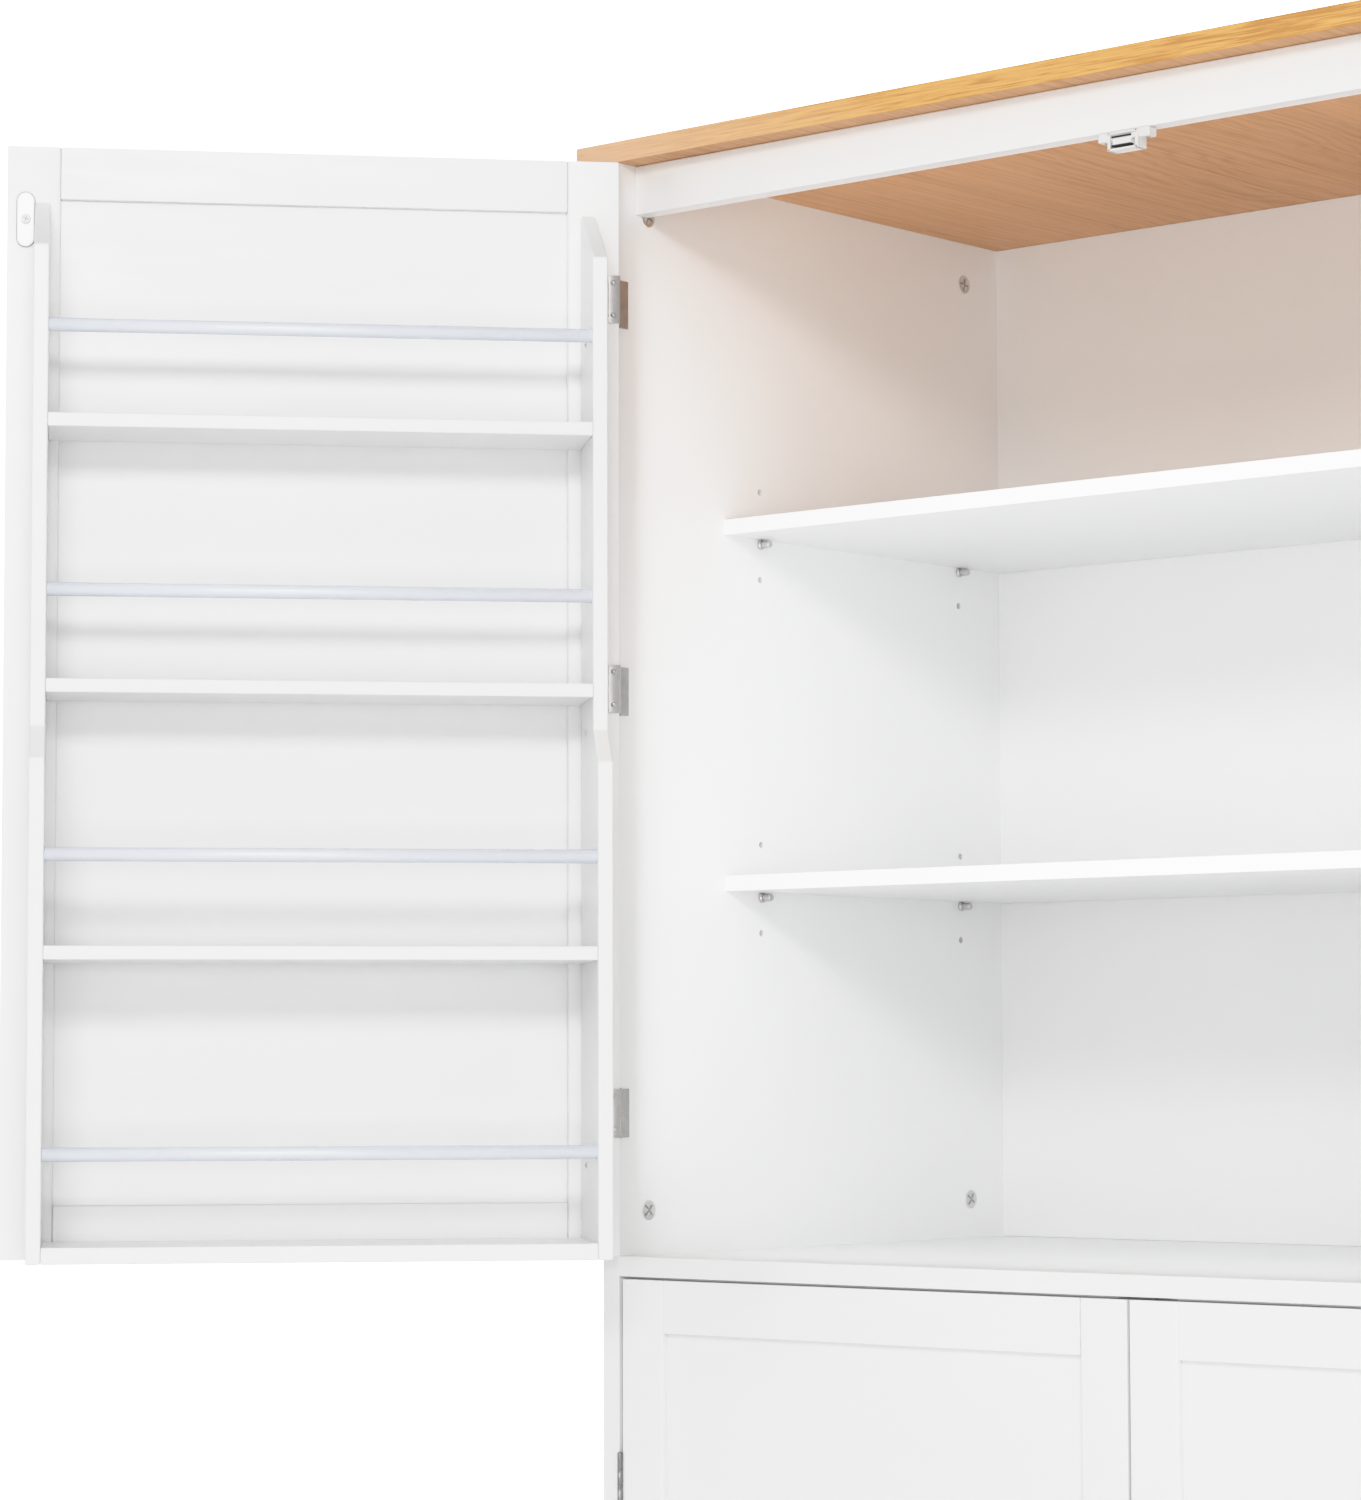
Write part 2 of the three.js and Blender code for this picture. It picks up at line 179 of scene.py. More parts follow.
def oak(name, base, along_y, arches=1.0, contrast=1.0, pale_end=None, figure=(2.0, 92)):
    """Oak laminate: straight fibres and short open pores along the grain, over growth rings that
    are cut at a slant, so that they close into faint arches. base is the mean colour, pale_end
    the colour that a band fades to at its left end, and figure how closely the streaks lie along
    and across the grain."""
    t = Tree(name)
    obj = t.node("TexCoord", "Object")
    x, y, z = (t.node("SeparateXYZ", i, {0: obj}) for i in range(3))
    along, across = (y, x) if along_y else (x, y)
    grain = t.node("CombineXYZ", 0, {0: along, 1: across, 2: z})

    def field(lengthways, crossways, scale, detail, rough, distortion=0.0):
        v = t.node("Mapping", 0, {"Vector": grain, "Scale": (lengthways, crossways, crossways)})
        return t.noise(v, scale, detail, rough, distortion)

    def about_half(value, weight):
        return t.math("MULTIPLY", t.math("SUBTRACT", value, 0.5), weight)

    # growth rings about trunks a plank's width apart, each leaning out of the board
    wander = field(2.2, 5.0, 1.6, 3, 0.5)
    plank = t.math("PINGPONG", t.math("ADD", across, 0.075), 0.165)
    aside = t.math("ADD", plank, about_half(wander, 0.11))
    lean = t.math("ADD", t.math("MULTIPLY", along, 0.13), t.math("MULTIPLY", wander, 0.10))
    radius = t.node("VectorMath", "Value",
                    {0: t.node("CombineXYZ", 0, {0: aside, 1: t.math("SUBTRACT", lean, 0.06)})},
                    operation="LENGTH")
    uneven = t.math("MULTIPLY", field(1.5, 12, 2.0, 3, 0.6), 9.0)
    ring = t.span(t.math("SINE", t.math("ADD", t.math("MULTIPLY", radius, 560.0), uneven)), -1, 1, 0, 1)
    shown = t.span(field(1.1, 6, 2.3, 2, 0.5), 0.42, 0.62, 0.15, 1.0)
    ring = t.math("MULTIPLY", t.math("POWER", ring, 2.2), shown)
    fibre = field(7, 420, 3.0, 4, 0.65, 0.1)
    streak = field(*figure, 2.6, 4, 0.6, 0.45)
    band = field(0.7, 7, 2.0, 3, 0.5, 0.2)
    pores = t.span(field(26, 850, 1.5, 2, 0.5), 0.60, 0.72, 0, 1)
    tone = t.math("ADD", t.math("MULTIPLY", ring, 0.20 * arches * contrast),
                  about_half(streak, 1.05 * contrast))
    tone = t.math("ADD", tone, about_half(fibre, 0.85 * contrast))
    tone = t.math("ADD", tone, about_half(band, 0.60 * contrast))
    dark = tuple(v * k for v, k in zip(base, (0.80, 0.74, 0.66)))
    pale = tuple(min(v * k, 0.95) for v, k in zip(base, (1.14, 1.17, 1.22)))
    colour = t.ramp(t.math("ADD", tone, 0.46, True), [(0.12, pale), (0.5, base), (0.88, dark)])
    if pale_end:
        fade = t.span(t.math("ADD", x, about_half(band, 0.25)), -0.48, -0.22, 0.85, 0.0)
        colour = t.mix(fade, colour, (*pale_end, 1))
    pore_tone = tuple(v * k for v, k in zip(base, (0.60, 0.50, 0.42)))
    colour = t.mix(t.math("MULTIPLY", pores, t.span(ring, 0, 1, 0.22, 0.40)), colour, (*pore_tone, 1))
    height = t.math("SUBTRACT", t.math("MULTIPLY", fibre, 0.5), t.math("MULTIPLY", pores, 0.9))
    rough = t.math("ADD", t.span(streak, 0.3, 0.7, 0.40, 0.50), t.math("MULTIPLY", pores, 0.15))
    return t.set(Base_Color=colour, Roughness=rough, Normal=t.bump(height, 0.28, 0.00015),
                 Specular_IOR_Level=0.35)


def metal(name, base, rough=0.28, brushed=(1, 1, 30), scale=120.0, strength=0.12):
    """Plated steel with fine drawing lines, small pits and uneven polish."""
    t = Tree(name)
    lines = t.noise(t.coords(brushed), scale, 4, 0.6)
    pits = t.noise(t.coords(), 2600, 2, 0.5)
    dull = t.noise(t.coords(), 60, 3, 0.6, 0.4)
    colour = t.mix(t.span(dull, 0.35, 0.7, 0, 1), (*base, 1), (*[v * 0.82 for v in base], 1))
    b = t.bump(t.math("ADD", lines, t.math("MULTIPLY", pits, 0.35)), strength, 0.00006)
    return t.set(Base_Color=colour, Metallic=1.0, Normal=b,
                 Roughness=t.span(dull, 0.3, 0.75, rough - 0.06, rough + 0.12))


def plastic(name, base, rough=0.35, spark=900.0):
    """Moulded plastic with a fine spark-eroded skin and slow changes of sheen."""
    t = Tree(name)
    skin = t.noise(t.coords(), spark, 2, 0.6)
    flow = t.noise(t.coords(), 35, 3, 0.5, 0.8)
    colour = t.mix(t.span(flow, 0.3, 0.7, 0, 1), (*base, 1), (*[v * 0.96 for v in base], 1))
    return t.set(Base_Color=colour, Roughness=t.span(flow, 0.3, 0.7, rough - 0.05, rough + 0.06),
                 Normal=t.bump(skin, 0.12, 0.00006), Specular_IOR_Level=0.5)


def powder(name, base):
    """Powder coat on a steel rod: smooth, glossy, with a faint orange peel."""
    t = Tree(name)
    peel = t.noise(t.coords(), 420, 2, 0.45)
    grime = t.noise(t.coords((8, 60, 60)), 4, 4, 0.6)
    colour = t.mix(t.span(grime, 0.4, 0.75, 0, 1), (*base, 1), (*[v * 0.965 for v in base], 1))
    return t.set(Base_Color=colour, Roughness=t.span(grime, 0.3, 0.7, 0.20, 0.30),
                 Normal=t.bump(peel, 0.18, 0.0001), Coat_Weight=0.25, Coat_Roughness=0.12)


WHITE = white_board("white_melamine", (0.915, 0.915, 0.915))
PAINT = white_board("white_painted_frame", (0.92, 0.92, 0.92), 0.36, 0.7)
BACK = white_board("white_back_board", (0.895, 0.895, 0.89), 0.55, 1.6)
OAK = oak("oak_face", rgb(220, 168, 119), True)
OAK_EDGE = oak("oak_front_band", rgb(226, 172, 100), False, 0.5, 2.7, rgb(240, 200, 168), (9, 220))
OAK_END = oak("oak_end_band", rgb(230, 190, 150), True, 0.4)
NICKEL = metal("nickel_plate", (0.70, 0.69, 0.68), 0.32)
# A darker copy of the nickel, for the hinge leaves on the side panels: painted shade.
SHADED_NICKEL = metal("nickel_painted_shade", (0.55, 0.54, 0.53), 0.32)
STEEL = metal("hinge_barrel", (0.40, 0.40, 0.41), 0.34)
SATIN = metal("satin_nickel", (0.60, 0.59, 0.57), 0.34, (30, 30, 1), 40)
ZINC = metal("zinc_cam", (0.80, 0.80, 0.80), 0.52, (1, 20, 20), 200, 0.2)
# A darker copy of the zinc: painted shade, for the crosses of the cams and of the strike screws and for the
# line round the strike plates.
ZINC_SHADE = metal("zinc_painted_shade", (0.42, 0.42, 0.42), 0.5, (20, 20, 20), 60, 0.3)
# Near-black for the crosses of the catch and rack screws: painted shade of their recesses.
RECESS_SHADE = metal("painted_recess_shade", (0.06, 0.06, 0.07), 0.38)
ROD = powder("rod_powder_coat", (0.80, 0.83, 0.90))
MOULDED = plastic("white_moulding", (0.88, 0.875, 0.865), 0.34)
GLOSSY = plastic("glossy_moulding", (0.93, 0.93, 0.93), 0.16)
LINING = plastic("catch_housing", (0.82, 0.81, 0.80), 0.42)
# Near-black for the catch's poles: painted shade of the slots they sit in.
SLOT_SHADE = plastic("painted_slot_shade", (0.03, 0.028, 0.026), 0.7)


BEVEL_ANGLE = math.radians(32)          # edges sharper than this are rounded


def piece(name, bm, body, material, bevel=0.6, segments=2, turn=None, stands_for=(), smooth=True):
    """Makes an object of bm that rides on a CAD body. bevel is in mm; turn takes it from where its
    door is shut to where the door rests; stands_for names the CAD nodes that it takes over from."""
    bmesh.ops.recalc_face_normals(bm, faces=bm.faces)
    mesh = bpy.data.meshes.new(name)
    bm.to_mesh(mesh)
    bm.free()
    for p in mesh.polygons:
        p.use_smooth = smooth
    mesh.materials.append(material)
    ob = bpy.data.objects.new(name, mesh)
    bpy.context.scene.collection.objects.link(ob)
    if bevel:
        m = ob.modifiers.new("edges", "BEVEL")
        m.width = bevel / 1000
        m.segments = segments
        m.limit_method = "ANGLE"
        m.angle_limit = BEVEL_ANGLE
        m.harden_normals = smooth
        m.use_clamp_overlap = True
    if turn:
        ob.matrix_world = turn
    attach(ob, body)
    if stands_for:
        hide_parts(*stands_for)
    return ob


def block(bm, lo, hi):
    v = [bm.verts.new(mm(x, y, z)) for z in (lo[2], hi[2]) for y in (lo[1], hi[1]) for x in (lo[0], hi[0])]
    for f in ((0, 1, 3, 2), (4, 6, 7, 5), (0, 4, 5, 1), (2, 3, 7, 6), (0, 2, 6, 4), (1, 5, 7, 3)):
        bm.faces.new([v[i] for i in f])
    return bm


def prism(bm, outline, a, b, axis):
    """Extrudes a closed outline from a to b. Its points are the other two axes in X, Y, Z order."""
    def at(p, w):
        q = list(p)
        q.insert(axis, w)
        return mm(*q)
    low = [bm.verts.new(at(p, a)) for p in outline]
    high = [bm.verts.new(at(p, b)) for p in outline]
    n = len(outline)
    bm.faces.new(low)
    bm.faces.new(high)
    for i in range(n):
        bm.faces.new((low[i], low[(i + 1) % n], high[(i + 1) % n], high[i]))
    return bm


def turned(bm, profile, centre, direction, steps=40):
    """Turns (radius, height) points about an axis through centre; the ends close on the axis."""
    z = Vector(direction).normalized()
    x = z.orthogonal().normalized()
    y = z.cross(x)
    c = mm(*centre)
    rings = []
    for r, h in profile:
        if r < 1e-6:
            rings.append([bm.verts.new(c + z * (h / 1000))])
        else:
            rings.append([bm.verts.new(c + z * (h / 1000) + (x * math.cos(a) + y * math.sin(a)) * (r / 1000))
                          for a in (2 * math.pi * i / steps for i in range(steps))])
    for p, q in zip(rings, rings[1:]):
        for i in range(steps):
            k = (i + 1) % steps
            if len(p) == 1 and len(q) > 1:
                bm.faces.new((p[0], q[k], q[i]))
            elif len(q) == 1 and len(p) > 1:
                bm.faces.new((p[i], p[k], q[0]))
            elif len(p) > 1:
                bm.faces.new((p[i], p[k], q[k], q[i]))
    for ring in (rings[0], rings[-1]):
        if len(ring) > 1:
            bm.faces.new(ring)
    return bm


def ease_edges(bm, places, radius):
    """Rounds a block's upright edges that stand at one of these X places."""
    def stands_there(edge):
        a, b = (v.co for v in edge.verts)
        upright = abs(a.z - b.z) > 1e-3
        return upright and any(abs(a.x * 1000 - x) < 0.01 for x in places)
    bmesh.ops.bevel(bm, geom=[e for e in bm.edges if stands_there(e)], offset=radius / 1000, segments=5,
                    profile=0.5, affect="EDGES")


def from_cad(node):
    """A copy of a CAD node's own mesh, with its flat faces made whole again."""
    bm = bmesh.new()
    bm.from_mesh(nodes[node].data)
    bmesh.ops.remove_doubles(bm, verts=bm.verts, dist=2e-6)
    bmesh.ops.dissolve_limit(bm, angle_limit=math.radians(0.6), verts=bm.verts, edges=bm.edges)
    return bm


def screw_head(name, at, direction, radius, body, turn=None, material=None, dome=0.5, cross=None):
    """A domed head with a cross on its crown. dome is how far it bulges, 1 being nearly a ball's
    cap; material says what the head is made of, and cross gives the cross its darker colour, painted shade of
    a cross recess."""
    bm = bmesh.new()
    z = Vector(direction).normalized()
    r = radius
    crown = [(r * 0.93, 0.36), (r * 0.72, 0.62), (r * 0.40, 0.78), (0, 0.84)]
    turned(bm, [(r, 0), (r, 0.18 * r)] + [(w, h * r * dome + 0.15 * r) for w, h in crown], at, direction, 28)
    piece(name, bm, body, material or NICKEL, 0, turn=turn)
    # the cross is a shallow plug set in the crown, in a darker colour: painted shade of a cross recess
    bm = bmesh.new()
    x = z.orthogonal().normalized()
    y = z.cross(x)
    c = mm(*at) + z * ((0.86 * r * dome + 0.17 * r) / 1000)
    w, l = 0.10 * r / 1000, 0.50 * r / 1000     # half an arm's width, and its length
    a = math.radians(27)
    u, v = x * math.cos(a) + y * math.sin(a), y * math.cos(a) - x * math.sin(a)
    pts = [(w, w), (w, l), (-w, l), (-w, w), (-l, w), (-l, -w),
           (-w, -w), (-w, -l), (w, -l), (w, -w), (l, -w), (l, w)]
    top = [bm.verts.new(c + u * p + v * q) for p, q in pts]
    low = [bm.verts.new(c + u * p * 0.6 + v * q * 0.6 - z * (0.25 * r / 1000)) for p, q in pts]
    bm.faces.new(top)
    bm.faces.new(low)
    n = len(pts)
    for i in range(n):
        bm.faces.new((top[i], top[(i + 1) % n], low[(i + 1) % n], low[i]))
    piece(name + "_cross", bm, body, cross or RECESS_SHADE, 0, turn=turn, smooth=False)


# ------------------------------------------------------------------- carcass
# The top board: a core whose grain runs front to back, and edge bands with their own grain.
BAND = 1.0                # thickness of the edge bands
SUNK = 0.6                # how far the boards and rods reach into the panels that hold them
lo, hi = box_mm("top_board")
piece("top", block(bmesh.new(), (lo[0] + BAND, lo[1] + BAND, lo[2]), (hi[0] - BAND, hi[1], hi[2])),
      "cabinet", OAK, 0.15, 1, stands_for=["top_board"])
piece("top_front_band", block(bmesh.new(), (lo[0], lo[1], lo[2]), (hi[0], lo[1] + BAND, hi[2])),
      "cabinet", OAK_EDGE, 0.5, 3)
for x, word in ((lo[0], "left"), (hi[0] - BAND, "right")):
    piece(f"top_{word}_band", block(bmesh.new(), (x, lo[1] + BAND, lo[2]), (x + BAND, hi[1], hi[2])),
          "cabinet", OAK_END, 0.4, 2)
for n in ("left_side_panel", "right_side_panel"):
    piece(n.replace("_panel", ""), from_cad(n), "cabinet", WHITE, 0.4, 2, stands_for=[n], smooth=False)
for n, material, edge in (("top_rail", PAINT, 1.1), ("divider_board", WHITE, 0.7),
                          ("bottom_board", WHITE, 0.7), ("toe_kick", WHITE, 0.6),
                          ("upper_back_panel", BACK, 0.3), ("lower_back_panel", BACK, 0.3),
                          ("upper_shelf", WHITE, 0.6), ("middle_shelf", WHITE, 0.6),
                          ("lower_shelf", WHITE, 0.6)):
    lo, hi = box_mm(n)
    reach = HALF_IN + SUNK                      # a board's eased ends are lost in the side panels
    piece(n + "_piece", block(bmesh.new(), (-reach, lo[1], lo[2]), (reach, hi[1], hi[2])), "cabinet",
          material, edge, 3, stands_for=[n])

# Cam discs that lock the fixed boards to the side panels: the Y and Z of each, low and high in the
# upper compartment and low in the lower one, at the front and at the back.
CAMS = [(33, DIVIDER[1][2] + 33), (432, DIVIDER[1][2] + 31.5),
        (34, DIVIDER[1][2] + 784.5), (431.5, DIVIDER[1][2] + 787.4),
        (33, BOTTOM[1][2] + 33), (432, BOTTOM[1][2] + 33)]
CROSS = ((0.4, -0.75), (5.2, -0.55), (5.2, 0.55), (0.4, 0.75))     # one arm: outwards, sideways
for side in (-1, 1):
    word = "left" if side < 0 else "right"
    for i, (y, z) in enumerate(CAMS):
        x = side * HALF_IN
        inward = (-side, 0, 0)
        bm = bmesh.new()
        turned(bm, [(7.5, -0.2), (7.5, 0.25), (7.1, 0.5), (6.3, 0.5), (6.0, 0.18), (2.6, 0.18), (2.2, 0.5),
                    (0, 0.5)], (x, y, z), inward, 48)
        piece(f"cam_disc_{word}_{i}", bm, "cabinet", ZINC, 0)
        # the cross on each cam is a mark in the darker zinc: painted shade of its cross slot
        bm = bmesh.new()
        for k in range(4):
            a = math.pi / 4 + k * math.pi / 2 + 0.2 * i
            d = (math.cos(a), math.sin(a))
            e = (-d[1], d[0])
            pts = [(y + d[0] * r + e[0] * w, z + d[1] * r + e[1] * w) for r, w in CROSS]
            prism(bm, pts, x - side * 0.2, x - side * 0.62, 0)
        piece(f"cam_cross_{word}_{i}", bm, "cabinet", ZINC_SHADE, 0.08, 1, smooth=False)

# Shelf pins: a stub in the side panel's hole, a collar against it and a stub under the shelf.
PIN_PLACES = ((166, "front"), (421, "rear"))    # Y of the two columns of holes
PIN_DROP = 3.9                                  # a shelf's underside to the middle of its pins
PIN_PROFILE = [(2.4, -6), (2.4, 0.0), (3.4, 0.0), (3.75, 0.35), (3.75, 1.9), (3.4, 2.3), (2.7, 2.4),
               (2.7, 2.7), (2.9, 2.9), (2.9, 9.6), (2.6, 10.2), (2.0, 10.5), (0, 10.6)]
for shelf in ("upper_shelf", "middle_shelf", "lower_shelf"):
    under = box_mm(shelf)[0][2]
    for side in (-1, 1):
        word = "left" if side < 0 else "right"
        for y, spot in PIN_PLACES:
            bm = turned(bmesh.new(), PIN_PROFILE, (side * HALF_IN, y, under - PIN_DROP), (-side, 0, 0), 40)
            piece(f"pin_{shelf}_{word}_{spot}", bm, "cabinet", NICKEL, 0)


# ------------------------------------------------------------ magnetic catch
def catch(prefix):
    """A moulded shell, open at the front, with a magnet and two steel poles inside it, under a
    plate whose ears are screwed to the board above. The poles are coloured near-black: painted shade of the
    slots they sit in."""
    lo, hi = box_mm(f"{prefix}_magnetic_catch")
    middle = (lo[0] + hi[0]) / 2
    top, front, foot = hi[2], lo[1], lo[2]
    half, deep, wall, cheek, ear, lap = 12.8, 11.0, 1.7, 2.4, 6.6, 0.5
    left, right, roof = middle - half, middle + half, top - 0.8
    piece(f"{prefix}_catch_plate",
          block(bmesh.new(), (lo[0], front + 1.3, top - ear), (hi[0], front + deep - 0.6, top)),
          "cabinet", LINING, 0.7, 3, stands_for=[f"{prefix}_magnetic_catch"])
    shell = {"left": ((left, front, foot), (left + cheek, front + deep, roof)),
             "right": ((right - cheek, front, foot), (right, front + deep, roof)),
             "floor": ((left + lap, front, foot), (right - lap, front + deep, foot + wall)),
             "roof": ((left + lap, front, roof - wall), (right - lap, front + deep, roof)),
             "back": ((left + lap, front + 4.2, foot + 0.4), (right - lap, front + deep - 0.2, top - 1.2))}
    for name, (a, b) in shell.items():
        piece(f"{prefix}_catch_{name}", block(bmesh.new(), a, b), "cabinet", LINING, 0.45, 3)
    m0, m1 = left + 3.6, right - 6.4
    magnet = block(bmesh.new(), (m0, front + 1.2, foot + 3.6), (m1, front + 5, top - 3.8))
    piece(f"{prefix}_catch_magnet", magnet, "cabinet", MOULDED, 0.3, 2)
    # two pole bars in near-black: painted shade of the catch's slots
    for k, z in enumerate((foot + 2.9, top - 4.6)):
        pole = block(bmesh.new(), (m0 - 0.2, front + 0.1, z), (m1 + 0.2, front + 6, z + 1.1))
        piece(f"{prefix}_catch_pole_{k}", pole, "cabinet", SLOT_SHADE, 0.12, 1)
    for k, x in enumerate((lo[0] + 4.4, hi[0] - 4.4)):
        screw_head(f"{prefix}_catch_screw_{k}", (x, front + deep / 2 + 0.4, top - ear + 0.1), (0, 0, -1),
                   1.9, "cabinet", dome=0.25)


catch("upper")
catch("lower")


# -------------------------------------------------------------------- hinges
def capsule(w, h, steps=14):
    """Outline of an upright capsule about the origin."""
    r = w / 2
    turns = [math.pi * i / steps for i in range(steps + 1)]
    pts = [(r * math.cos(a), h / 2 - r + r * math.sin(a)) for a in turns]
    return pts + [(-x, -z) for x, z in pts]


LEAF_THICK = 1.0          # thickness of a hinge's leaves
LEAF_REACH = 8.3          # how far the door's leaf lies over the door's inside face
FRAME_LEAF_BACK = 10      # where the leaf on the side panel ends, behind the doors' fronts


def hinge(prefix, spot, side, door, turn):
    """A wrap hinge. Its barrel and one leaf stay with the cabinet, and the other goes with the door."""
    node = f"{prefix}_hinge_{spot}"
    lo, hi = box_mm(node)
    z0, z1 = lo[2], hi[2]
    j = JOINTS[door]
    px, py = abs(j["pos_m"][0]) * 1000, j["pos_m"][1] * 1000 - DY
    r = py - lo[1]
    face = HALF_IN - 0.3
    # barrel: three knuckles round a pin with rounded ends
    bm = bmesh.new()
    h = z1 - z0
    prof = [(0, -0.9), (r * 0.55, -0.75), (r * 0.9, -0.35), (r, 0.15)]
    for k in (1, 2):
        seam = h * k / 3
        prof += [(r, seam - 0.22), (r * 0.86, seam - 0.08), (r * 0.86, seam + 0.08), (r, seam + 0.22)]
    prof += [(r, h - 0.15), (r * 0.9, h + 0.35), (r * 0.55, h + 0.75), (0, h + 0.9)]
    turned(bm, prof, (side * px, py, z0), (0, 0, 1), 32)
    piece(node + "_barrel", bm, "cabinet", STEEL, 0, stands_for=[node])
    # leaf on the side panel, in a darker copy of the nickel: painted shade
    a, b = side * face, side * (face - LEAF_THICK)
    bm = block(bmesh.new(), (min(a, b), py + 0.9, z0), (max(a, b), FRAME_LEAF_BACK, z1))
    piece(node + "_frame_leaf", bm, "cabinet", SHADED_NICKEL, 0.25, 2)
    # leaf on the door: along its hinge edge, then round the corner on to its inside face
    edge = box_mm(f"{prefix}_door_frame", turn)
    s0 = edge[0][0] if side < 0 else -edge[1][0]          # hinge edge, as if on the left
    t = edge[1][1]
    under, over = t + 0.1, t + 0.1 + LEAF_THICK
    outline = [(s0 - 0.85, 0.2), (s0 - 0.1, 0.2), (s0 - 0.1, under), (s0 + LEAF_REACH, under),
               (s0 + LEAF_REACH, over), (s0 + 0.3, over), (s0 - 0.4, t + 0.8), (s0 - 0.85, under)]
    if side > 0:
        outline = [(-x, y) for x, y in outline]
    piece(node + "_door_leaf", prism(bmesh.new(), outline, z0, z1, 2), door, NICKEL, 0.2, 2, turn)
    sx = s0 + 4.6
    # screws on the door leaf; their crosses take the darker barrel steel as painted shade of the recess
    for k, z in enumerate((z0 + h * 0.17, z0 + h * 0.85)):
        screw_head(f"{node}_screw_{k}", (sx if side < 0 else -sx, t + 1.05, z), (0, 1, 0), 2.1, door, turn,
                   dome=1.0, cross=STEEL)


# --------------------------------------------------------------------- doors
STILE = 39.0              # width of the stiles and rails of a door's frame
STILE_EASE = 2.2          # the rounding of a stile's inner edges
SHADE_RIM = 0.45           # how far the darker outline, painted shade along the edge, shows round a strike plate


def door(level, word):
    """A framed door with its knob, strike plate, hinges and, on an upper door, its rack."""
    side = -1 if word == "left" else 1
    prefix = f"{level}_{word}"
    body = f"{prefix}_door"
    turn = door_turn(body)
    lo, hi = box_mm(f"{prefix}_door_frame", turn)
    t = hi[1]
    inner = (lo[0] + STILE, hi[0] - STILE)

    # two full-height stiles, two rails between them
    first, last = ("hinge_stile", "free_stile") if side < 0 else ("free_stile", "hinge_stile")
    for name, a, b in ((first, (lo[0], 0, lo[2]), (inner[0], t, hi[2])),
                       (last, (inner[1], 0, lo[2]), (hi[0], t, hi[2])),
                       ("top_rail", (inner[0], 0, hi[2] - STILE), (inner[1], t, hi[2])),
                       ("bottom_rail", (inner[0], 0, lo[2]), (inner[1], t, lo[2] + STILE))):
        bm = block(bmesh.new(), a, b)
        if "stile" in name:
            ease_edges(bm, inner, STILE_EASE)
        ob = piece(f"{prefix}_{name}", bm, body, PAINT, 0.75, 3, turn)
        if name == "top_rail":
            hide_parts(f"{prefix}_door_frame")
    plo, phi = box_mm(f"{prefix}_door_panel", turn)
    panel = block(bmesh.new(), (inner[0], plo[1], lo[2] + STILE), (inner[1], phi[1], hi[2] - STILE))
    piece(f"{prefix}_panel", panel, body, PAINT, 0.2, 2, turn, [f"{prefix}_door_panel"])

    # knob
    klo, khi = box_mm(f"{prefix}_knob", turn)
    wide, proud = (khi[0] - klo[0]) / 2, khi[1] - klo[1]
    collar = [(0, 0), (0.52, 0), (0.55, 0.5), (0.52, 1.6), (0.40, 3.0), (0.345, 5)]
    head = [(0.335, 0.40), (0.40, 0.47), (0.62, 0.54), (0.86, 0.61), (0.97, 0.68), (1, 0.755),
            (0.975, 0.84), (0.87, 0.915), (0.66, 0.967), (0.36, 0.992), (0, 1)]
    prof = [(wide * r, h) for r, h in collar] + [(wide * r, proud * h) for r, h in head]
    bm = turned(bmesh.new(), prof, ((klo[0] + khi[0]) / 2, khi[1], (klo[2] + khi[2]) / 2), (0, -1, 0), 64)
    piece(f"{prefix}_pull", bm, body, SATIN, 0, turn=turn, stands_for=[f"{prefix}_knob"])

    # strike plate with its screw, over a thin darker outline that shows as a line round it: painted shade
    # along its edge
    slo, shi = box_mm(f"{prefix}_strike_plate", turn)
    cx, cz = (slo[0] + shi[0]) / 2, (slo[2] + shi[2]) / 2
    wide, tall = shi[0] - slo[0], shi[2] - slo[2]
    foot = slo[1] - 0.2
    edge_shade = [(cx + x, cz + z) for x, z in capsule(wide + 2 * SHADE_RIM, tall + 2 * SHADE_RIM)]
    piece(f"{prefix}_strike_edge_shade", prism(bmesh.new(), edge_shade, foot, slo[1] + 0.5, 1), body, ZINC_SHADE, 0.1, 1,
          turn)
    plate = [(cx + x, cz + z) for x, z in capsule(wide, tall)]
    piece(f"{prefix}_strike", prism(bmesh.new(), plate, foot, shi[1], 1), body, GLOSSY, 1.9, 6, turn,
          [f"{prefix}_strike_plate"])
    # its screw, with a cross in the darker zinc: painted shade of the recess
    screw_head(f"{prefix}_strike_screw", (cx, shi[1] - 0.3, cz), (0, 1, 0), 3.8, body, turn, GLOSSY, 1.0,
               ZINC_SHADE)

    spots = ("top", "middle", "bottom") if level == "upper" else ("top", "bottom")
    for spot in spots:
        hinge(prefix, spot, side, body, turn)
    if level == "upper":
        rack(prefix, side, body, turn)


TIERS = ("bottom", "lower", "middle", "upper")
RACK_SCREWS = {"bottom": 54, "middle": -33.5, "upper": 64}    # height over that tier's board


